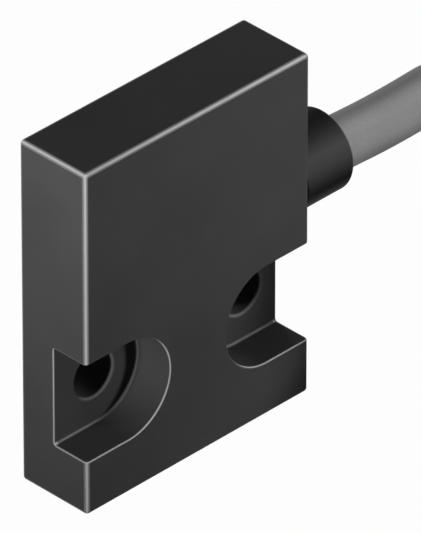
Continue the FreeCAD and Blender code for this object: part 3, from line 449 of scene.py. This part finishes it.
# Each turn: the column and layer that the cable lies in, and the angles in degrees over which it
# moves there from the one before.
TURNS = [
    (0, 2, None),
    (1, 2, (288, 344)),
    (1, 1, (234, 290)),
    (0, 1, (180, 236)),
    (1, 0, (132, 184)),
    (0, 0, (84, 132)),
]
# In this move the cable drops from the outer column to the lowest inner place, round the turn
# beside it, and the lowest outer turn bows out to let it pass.
CROSSING = 3
LAST_ANGLE = 5 * 360 + 85


def eased(share):
    """A smooth step from 0 to 1."""
    share = min(max(share, 0.0), 1.0)
    return share * share * (3 - 2 * share)


def turn_place(angle):
    """Radius and height of the coiled cable at an angle counted along all its turns."""
    column, layer, _ = TURNS[0]
    radius, height = TURN_RADII[column], LAYERS[layer]
    for number, (column, layer, window) in enumerate(TURNS[1:]):
        begin, end = window
        share = eased((angle - number * 360 - begin) / (end - begin))
        if number == CROSSING:
            dropped = math.radians(90 * share)
            radius += CABLE_DIAMETER * (math.cos(dropped) - 1)
            height -= CABLE_DIAMETER * math.sin(dropped)
            continue
        radius += share * (TURN_RADII[column] - radius)
        height += share * (LAYERS[layer] - height)
    begin, end = TURNS[CROSSING + 1][2]
    share = eased((angle - (CROSSING + 1) * 360 - begin) / (end - begin))
    dropped = math.radians(90 * share)
    level = 1 - math.sin(dropped)
    radius += CABLE_DIAMETER * (math.cos(dropped) - 1 + math.sqrt(1 - level * level))
    return radius, height


def coil_points():
    """Points along the wound turns, clockwise seen from above, from the first to the last."""
    points = []
    step = 360 / POINTS_PER_TURN
    count = int(LAST_ANGLE / step)
    for number in range(count + 1):
        angle = number * step
        radius, height = turn_place(angle)
        turned = math.radians(90 - angle)
        outward = Vector((math.cos(turned), math.sin(turned), 0.0))
        points.append(COIL_MIDDLE + radius * outward + Vector((0.0, 0.0, height)))
    return points


def add_wire(name, points, diameter):
    """A round wire whose smooth line has these points as its control points."""
    line = bpy.data.curves.new(name, "CURVE")
    line.dimensions = "3D"
    line.bevel_depth = diameter / 2
    line.bevel_resolution = STEPS_AROUND
    line.resolution_u = STEPS_BETWEEN
    line.use_fill_caps = True
    spline = line.splines.new("NURBS")
    spline.points.add(len(points) - 1)
    for point, place in zip(spline.points, points):
        point.co = (*place, 1.0)
    spline.order_u = 3
    spline.use_endpoint_u = True
    spline.use_smooth = True
    wire = bpy.data.objects.new(name, line)
    bpy.context.scene.collection.objects.link(wire)
    return wire


cable_route = [Vector(place) for place in ROUTE_IN] + coil_points()
cable_route += [Vector(place) for place in ROUTE_OUT]
cable = add_wire("cable_jacket", cable_route, CABLE_DIAMETER)

# Grey PVC, extruded: matt, with a very fine grain from the die and faint marks along its length.
# The real grain is finer than a pixel, so it is drawn 0.12 mm wide.
JACKET_GRAIN = 0.00012
JACKET_PATCHES = 0.004

jacket = new_material("pvc_extruded_grey")
tree = jacket.node_tree
place = add_node(tree, "ShaderNodeTexCoord")
grain = add_node(tree, "ShaderNodeTexNoise", {"Scale": 1 / JACKET_GRAIN, "Detail": 3.0},
                 {"Vector": place.outputs["Object"]})
patches = add_node(tree, "ShaderNodeTexNoise", {"Scale": 1 / JACKET_PATCHES, "Detail": 2.0},
                   {"Vector": place.outputs["Object"]})
both = add_node(tree, "ShaderNodeMath", {1: 0.25},
                {0: patches.outputs["Fac"], 2: grain.outputs["Fac"]}, operation="MULTIPLY_ADD")
shade = add_node(tree, "ShaderNodeValToRGB", links={0: both.outputs[0]})
shade.color_ramp.elements[0].position = 0.35
shade.color_ramp.elements[0].color = linear("#7E7E7E")
shade.color_ramp.elements[1].position = 0.95
shade.color_ramp.elements[1].color = linear("#929292")
# Painted light on top and painted shade underneath, set by which way the surface faces.
share_up = add_node(tree, "ShaderNodeValToRGB", links={0: facing_up(tree, place)})
share_up.color_ramp.elements[0].position = 0.3
share_up.color_ramp.elements[0].color = (0.47, 0.47, 0.47, 1.0)
share_up.color_ramp.elements.new(0.8).color = (0.66, 0.66, 0.66, 1.0)
painted_shading = add_node(tree, "ShaderNodeMix", {0: 1.0}, {6: shade.outputs[0], 7: share_up.outputs[0]},
                  data_type="RGBA", blend_type="MULTIPLY")
dents = add_node(tree, "ShaderNodeBump", {"Strength": 0.2, "Distance": 0.00003},
                 {"Height": grain.outputs["Fac"]})
skin = add_node(tree, "ShaderNodeBsdfPrincipled",
                {"Roughness": 0.62, "IOR": 1.53, "Specular IOR Level": 0.03},
                {"Base Color": painted_shading.outputs[2], "Normal": dents.outputs[0]})
add_node(tree, "ShaderNodeOutputMaterial", links={"Surface": skin.outputs[0]})
cable.data.materials.append(jacket)
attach(cable, "root")
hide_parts("cable", "cable_coil")

# Crimp ring: a short brass tube pressed onto the jacket behind the sleeve's flange, so that a pull
# on the cable can't draw it out. It is turned, with shallow rings from the tool and some tarnish.

# A wave texture's bands lie 2 pi / 20 of a unit apart, which at this scale is 0.63 mm.
TOOL_RING_SCALE = 500.0
BRASS_TARNISH = 0.0008

brass = new_material("brass_turned")
tree = brass.node_tree
place = add_node(tree, "ShaderNodeTexCoord")
rings = add_node(tree, "ShaderNodeTexWave", {"Scale": TOOL_RING_SCALE, "Distortion": 0.4},
                 {"Vector": place.outputs["Object"]}, bands_direction="X")
marks = add_node(tree, "ShaderNodeBump", {"Strength": 0.2, "Distance": 0.00001},
                 {"Height": rings.outputs["Fac"]})
tarnish = add_node(tree, "ShaderNodeTexNoise", {"Scale": 1 / BRASS_TARNISH, "Detail": 3.0},
                   {"Vector": place.outputs["Object"]})
tone = add_node(tree, "ShaderNodeValToRGB", links={0: tarnish.outputs["Fac"]})
tone.color_ramp.elements[0].color = linear("#A98A4E")
tone.color_ramp.elements[1].color = linear("#D8BC79")
skin = add_node(tree, "ShaderNodeBsdfPrincipled", {"Metallic": 1.0, "Roughness": 0.3},
                {"Base Color": tone.outputs[0], "Normal": marks.outputs[0]})
add_node(tree, "ShaderNodeOutputMaterial", links={"Surface": skin.outputs[0]})
dress(brass, "crimp_ring")

# Wiring: the cable's four cores reach over the board inside, and each bare end lies in a dome of
# solder. Each core is seven tinned copper strands, twisted together, in coloured PVC.

CORE_COLOURS = {"brown": "#5B3A24", "white": "#DAD8D2", "blue": "#1F4E9B", "black": "#1B1B1C"}
CORE_RIPPLE = 0.002
DRAWN_LINES = 0.0002
SOLDER_FROST = 0.0005

# Core insulation, extruded PVC: smooth, half glossy, with a slight waviness from the strands under
# it, about 2 mm from crest to crest.
core_materials = {}
for colour, code in CORE_COLOURS.items():
    insulation = new_material(f"pvc_extruded_{colour}")
    tree = insulation.node_tree
    place = add_node(tree, "ShaderNodeTexCoord")
    wave = add_node(tree, "ShaderNodeTexNoise", {"Scale": 1 / CORE_RIPPLE, "Detail": 2.0},
                    {"Vector": place.outputs["Object"]})
    tone = add_node(tree, "ShaderNodeHueSaturation", {"Color": linear(code)})
    drift = add_node(tree, "ShaderNodeMapRange", {"To Min": 0.85, "To Max": 1.15},
                     {"Value": wave.outputs["Fac"]})
    tree.links.new(drift.outputs[0], tone.inputs["Value"])
    ripple = add_node(tree, "ShaderNodeBump", {"Strength": 0.25, "Distance": 0.00005},
                      {"Height": wave.outputs["Fac"]})
    skin = add_node(tree, "ShaderNodeBsdfPrincipled", {"Roughness": 0.4, "IOR": 1.53},
                    {"Base Color": tone.outputs[0], "Normal": ripple.outputs[0]})
    add_node(tree, "ShaderNodeOutputMaterial", links={"Surface": skin.outputs[0]})
    core_materials[colour] = insulation

# Tinned copper, drawn: bright, greyer than silver, with fine lines along each strand.
tinned = new_material("tinned_copper_drawn")
tree = tinned.node_tree
place = add_node(tree, "ShaderNodeTexCoord")
lines = add_node(tree, "ShaderNodeTexNoise", {"Scale": 1 / DRAWN_LINES, "Detail": 2.0},
                 {"Vector": place.outputs["Object"]})
sheen = add_node(tree, "ShaderNodeMapRange", {"To Min": 0.22, "To Max": 0.42},
                 {"Value": lines.outputs["Fac"]})
skin = add_node(tree, "ShaderNodeBsdfPrincipled",
                {"Base Color": linear("#C9C4BA"), "Metallic": 1.0},
                {"Roughness": sheen.outputs[0]})
add_node(tree, "ShaderNodeOutputMaterial", links={"Surface": skin.outputs[0]})

# Tin-silver solder, reflowed: bright, with shallow frosted patches half a millimetre wide.
solder = new_material("tin_solder_reflowed")
tree = solder.node_tree
place = add_node(tree, "ShaderNodeTexCoord")
frost = add_node(tree, "ShaderNodeTexNoise", {"Scale": 1 / SOLDER_FROST, "Detail": 3.0},
                 {"Vector": place.outputs["Object"]})
sheen = add_node(tree, "ShaderNodeMapRange", {"To Min": 0.15, "To Max": 0.4},
                 {"Value": frost.outputs["Fac"]})
dimples = add_node(tree, "ShaderNodeBump", {"Strength": 0.3, "Distance": 0.00003},
                   {"Height": frost.outputs["Fac"]})
skin = add_node(tree, "ShaderNodeBsdfPrincipled",
                {"Base Color": linear("#C4C4C4"), "Metallic": 1.0},
                {"Roughness": sheen.outputs[0], "Normal": dimples.outputs[0]})
add_node(tree, "ShaderNodeOutputMaterial", links={"Surface": skin.outputs[0]})
for colour, insulation in core_materials.items():
    dress(insulation, f"inner_core_{colour}")
    dress(tinned, f"inner_conductor_{colour}")
    dress(solder, f"solder_joint_{colour}")

# Potting: black epoxy resin, cast into the cavity round the board and its wiring, then covered.
# It cures glossy and level, with a few soft hollows a few millimetres wide.

RESIN_HOLLOWS = 0.003

resin = new_material("epoxy_cast_black")
tree = resin.node_tree
place = add_node(tree, "ShaderNodeTexCoord")
hollows = add_node(tree, "ShaderNodeTexNoise", {"Scale": 1 / RESIN_HOLLOWS, "Detail": 2.0},
                   {"Vector": place.outputs["Object"]})
tone = add_node(tree, "ShaderNodeValToRGB", links={0: hollows.outputs["Fac"]})
tone.color_ramp.elements[0].color = linear("#161617")
tone.color_ramp.elements[1].color = linear("#202021")
level = add_node(tree, "ShaderNodeBump", {"Strength": 0.2, "Distance": 0.0001},
                 {"Height": hollows.outputs["Fac"]})
skin = add_node(tree, "ShaderNodeBsdfPrincipled", {"Roughness": 0.16, "IOR": 1.55},
                {"Base Color": tone.outputs[0], "Normal": level.outputs[0]})
add_node(tree, "ShaderNodeOutputMaterial", links={"Surface": skin.outputs[0]})
dress(resin, "potting_resin")

# Back cover: a flat plate of the same PBT, moulded, and glued into the step around the open back
# with a hairline gap along its rim. It is a little darker and smoother than the housing.

COVER_GRAIN = 0.00015
COVER_CLOUDS = 0.006

cover_plastic = new_material("pbt_moulded_cover")
tree = cover_plastic.node_tree
place = add_node(tree, "ShaderNodeTexCoord")
grain = add_node(tree, "ShaderNodeTexNoise", {"Scale": 1 / COVER_GRAIN, "Detail": 2.0},
                 {"Vector": place.outputs["Object"]})
clouds = add_node(tree, "ShaderNodeTexNoise", {"Scale": 1 / COVER_CLOUDS, "Detail": 3.0},
                  {"Vector": place.outputs["Object"]})
body = add_node(tree, "ShaderNodeValToRGB", links={0: clouds.outputs["Fac"]})
body.color_ramp.elements[0].position = 0.3
body.color_ramp.elements[0].color = linear("#2C2C2D")
body.color_ramp.elements[1].position = 0.7
body.color_ramp.elements[1].color = linear("#303031")
pits = add_node(tree, "ShaderNodeBump", {"Strength": 0.3, "Distance": 0.00001},
                {"Height": grain.outputs["Fac"]})
skin = add_node(tree, "ShaderNodeBsdfPrincipled",
                {"Roughness": 0.6, "IOR": 1.57, "Specular IOR Level": 0.09},
                {"Base Color": body.outputs[0], "Normal": pits.outputs[0]})
add_node(tree, "ShaderNodeOutputMaterial", links={"Surface": skin.outputs[0]})
dress(cover_plastic, "back_cover")

# Cable ties: two nylon straps pulled round the turns, black for use outdoors. Each is moulded in
# one piece with its locking head, and its tail is cut off just above the head.

TIE_THICKNESS = 0.0008
TIE_WIDTH = 0.0025
BUNDLE_WIDTH = 0.0102
BUNDLE_HEIGHT = 0.0152
BUNDLE_CORNER = 0.0026
BUNDLE_RADIUS = 0.027
TIE_ANGLES = (30, 210)
STRAP_STEPS = 10
# How much of the strap's thickness its long edges lose.
STRAP_EDGE = 0.22
HEAD_SIZE = 0.0042
HEAD_HEIGHT = 0.0030
HEAD_LIFT = 0.0001
HEAD_ROUNDING = 0.00045
SLOT_LIP = 0.00045
SLOT_NARROWING = 0.62
SLOT_DEPTH = 0.0012
TAIL_ASIDE = 0.0002
TAIL_SINK = 0.0004
TAIL_LENGTH = 0.0018
TAIL_NARROWING = 0.9
TAIL_ROUNDING = 0.00008
FLOW_MARKS = 0.0012
SHARP_ANGLE = math.radians(40)


def rounded_outline(width, height, corner, steps):
    """Points round a rectangle with round corners, across and up from its middle."""
    points = []
    centres = [(1, 1), (-1, 1), (-1, -1), (1, -1)]
    for number, (side, level) in enumerate(centres):
        middle_across = side * (width / 2 - corner)
        middle_up = level * (height / 2 - corner)
        for step in range(steps + 1):
            turned = math.radians(90 * (number + step / steps))
            points.append((
                middle_across + corner * math.cos(turned),
                middle_up + corner * math.sin(turned),
            ))
    return points


def add_strap(mesh):
    """The strap round the bundle, its four long edges taken off."""
    ease = TIE_THICKNESS * STRAP_EDGE
    half = TIE_WIDTH / 2
    section = [
        (0.0, -half + ease), (0.0, half - ease), (ease, half), (TIE_THICKNESS - ease, half),
        (TIE_THICKNESS, half - ease), (TIE_THICKNESS, -half + ease),
        (TIE_THICKNESS - ease, -half), (ease, -half),
    ]
    rings = []
    for out, along in section:
        outline = rounded_outline(
            BUNDLE_WIDTH + 2 * out, BUNDLE_HEIGHT + 2 * out, BUNDLE_CORNER + out, STRAP_STEPS
        )
        rings.append([mesh.verts.new((x, along, z)) for x, z in outline])
    count = len(rings[0])
    for ring, following in zip(rings, rings[1:] + rings[:1]):
        for number in range(count):
            ahead = (number + 1) % count
            mesh.faces.new((ring[number], ring[ahead], following[ahead], following[number]))


def add_block(mesh, middle, sides, rounding, segments):
    """A block with rounded edges, and its top face."""
    made = bmesh.ops.create_cube(mesh, size=1.0)
    for vertex in made["verts"]:
        vertex.co = Vector(vertex.co[axis] * sides[axis] for axis in range(3)) + Vector(middle)
    edges = {edge for vertex in made["verts"] for edge in vertex.link_edges}
    bmesh.ops.bevel(mesh, geom=list(edges), offset=rounding, segments=segments, profile=0.5,
                    affect="EDGES")
    highest = middle[2] + sides[2] / 2 - 1e-7
    tops = [face for face in mesh.faces if all(vertex.co.z > highest for vertex in face.verts)]
    return max(tops, key=lambda face: face.calc_area())


def add_head(mesh):
    """The locking head on top of the bundle, with the slot and the cut end of the strap in it."""
    base = BUNDLE_HEIGHT / 2
    top = add_block(mesh, (0.0, 0.0, base + HEAD_HEIGHT / 2 + HEAD_LIFT),
                    (HEAD_SIZE, HEAD_SIZE, HEAD_HEIGHT), HEAD_ROUNDING, 3)
    bmesh.ops.inset_region(mesh, faces=[top], thickness=SLOT_LIP)
    middle = top.calc_center_median()
    for vertex in top.verts:
        vertex.co.x = middle.x + (vertex.co.x - middle.x) * SLOT_NARROWING
    slot = bmesh.ops.extrude_face_region(mesh, geom=[top])
    for part in slot["geom"]:
        if isinstance(part, bmesh.types.BMVert):
            part.co.z -= SLOT_DEPTH
    bmesh.ops.delete(mesh, geom=[top], context="FACES_ONLY")
    add_block(mesh, (TAIL_ASIDE, 0.0, base + HEAD_HEIGHT - TAIL_SINK),
              (TIE_THICKNESS, TIE_WIDTH * TAIL_NARROWING, TAIL_LENGTH), TAIL_ROUNDING, 2)


def mesh_piece(name, mesh, material):
    """A piece from a bmesh, shaded smooth except across its sharp edges."""
    bmesh.ops.recalc_face_normals(mesh, faces=mesh.faces)
    data = bpy.data.meshes.new(name)
    mesh.to_mesh(data)
    mesh.free()
    data.shade_smooth()
    data.set_sharp_from_angle(angle=SHARP_ANGLE)
    data.materials.append(material)
    piece = bpy.data.objects.new(name, data)
    bpy.context.scene.collection.objects.link(piece)
    return piece


# Nylon 6.6, moulded: half glossy, with soft flow marks a millimetre or so long.
nylon = new_material("nylon_moulded_black")
tree = nylon.node_tree
place = add_node(tree, "ShaderNodeTexCoord")
flow = add_node(tree, "ShaderNodeTexNoise", {"Scale": 1 / FLOW_MARKS, "Detail": 2.0},
                {"Vector": place.outputs["Object"]})
sheen = add_node(tree, "ShaderNodeMapRange", {"To Min": 0.32, "To Max": 0.5},
                 {"Value": flow.outputs["Fac"]})
waves = add_node(tree, "ShaderNodeBump", {"Strength": 0.3, "Distance": 0.00005},
                 {"Height": flow.outputs["Fac"]})
skin = add_node(tree, "ShaderNodeBsdfPrincipled", {"Base Color": linear("#202122"), "IOR": 1.53},
                {"Roughness": sheen.outputs[0], "Normal": waves.outputs[0]})
add_node(tree, "ShaderNodeOutputMaterial", links={"Surface": skin.outputs[0]})

for number, angle in enumerate(TIE_ANGLES, start=1):
    mesh = bmesh.new()
    add_strap(mesh)
    add_head(mesh)
    turned = math.radians(90 - angle)
    lift = TIE_THICKNESS + BUNDLE_HEIGHT / 2
    here = COIL_MIDDLE + Vector((
        BUNDLE_RADIUS * math.cos(turned), BUNDLE_RADIUS * math.sin(turned), lift))
    mesh.transform(Matrix.Translation(here) @ Matrix.Rotation(turned, 4, "Z"))
    tie = mesh_piece(f"cable_tie_strap_{number}", mesh, nylon)
    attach(tie, "root")
    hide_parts(f"cable_tie_{number}")

# Free end: the jacket is stripped back and the four cores fan out on the bench. Each is bare over
# its last 4 mm, where its seven tinned strands keep their twist.

JACKET_END = Vector(ROUTE_OUT[-1])
END_HEADING = Vector((0.08716, -0.99619, 0.0))
END_ASIDE = Vector((0.99619, 0.08716, 0.0))
# Each core comes down to the bench over its first 7 mm and has spread by most of its fan there.
CORE_HEIGHT = 0.00055
CORE_FREE = 0.010
CORE_BEND = 0.007
BENT_FAN = 0.8
CORE_FANS = {"brown": 0.0011, "white": -0.0011, "blue": -0.0033, "black": 0.0033}
BARE_LENGTH = 0.004
OUTER_STRANDS = 6
STRAND_RADIUS = 0.0001
STRAND_PITCH = 0.006
STRAND_STEPS = 18
STRAND_SIDES = 8


def add_strand(mesh, start, ahead, phase, out):
    """One strand that winds round the bundle's middle, with both ends closed."""
    sideways = ahead.cross(Vector((0.0, 0.0, 1.0))).normalized()
    upright = sideways.cross(ahead)
    rings = []
    for step in range(STRAND_STEPS + 1):
        along = BARE_LENGTH * step / STRAND_STEPS
        turned = phase + 2 * math.pi * along / STRAND_PITCH
        middle = start + ahead * along
        middle += out * (math.cos(turned) * sideways + math.sin(turned) * upright)
        ring = []
        for side in range(STRAND_SIDES):
            around = 2 * math.pi * side / STRAND_SIDES
            spot = STRAND_RADIUS * (math.cos(around) * sideways + math.sin(around) * upright)
            ring.append(mesh.verts.new(middle + spot))
        rings.append(ring)
    for ring, following in zip(rings, rings[1:]):
        for side in range(STRAND_SIDES):
            ahead_side = (side + 1) % STRAND_SIDES
            mesh.faces.new((ring[side], ring[ahead_side], following[ahead_side], following[side]))
    mesh.faces.new(rings[0])
    mesh.faces.new(rings[-1])


for colour, fan in CORE_FANS.items():
    dress(core_materials[colour], f"end_core_{colour}")
    bend = JACKET_END + CORE_BEND * END_HEADING + BENT_FAN * fan * END_ASIDE
    tip = JACKET_END + CORE_FREE * END_HEADING + fan * END_ASIDE
    bend.z = CORE_HEIGHT
    tip.z = CORE_HEIGHT
    ahead = (tip - bend).normalized()
    mesh = bmesh.new()
    add_strand(mesh, tip, ahead, 0.0, 0.0)
    for number in range(OUTER_STRANDS):
        phase = math.radians(360 / OUTER_STRANDS * number)
        add_strand(mesh, tip, ahead, phase, 2 * STRAND_RADIUS)
    strands = mesh_piece(f"bare_strands_{colour}", mesh, tinned)
    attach(strands, "root")
    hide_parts(f"end_conductor_{colour}")
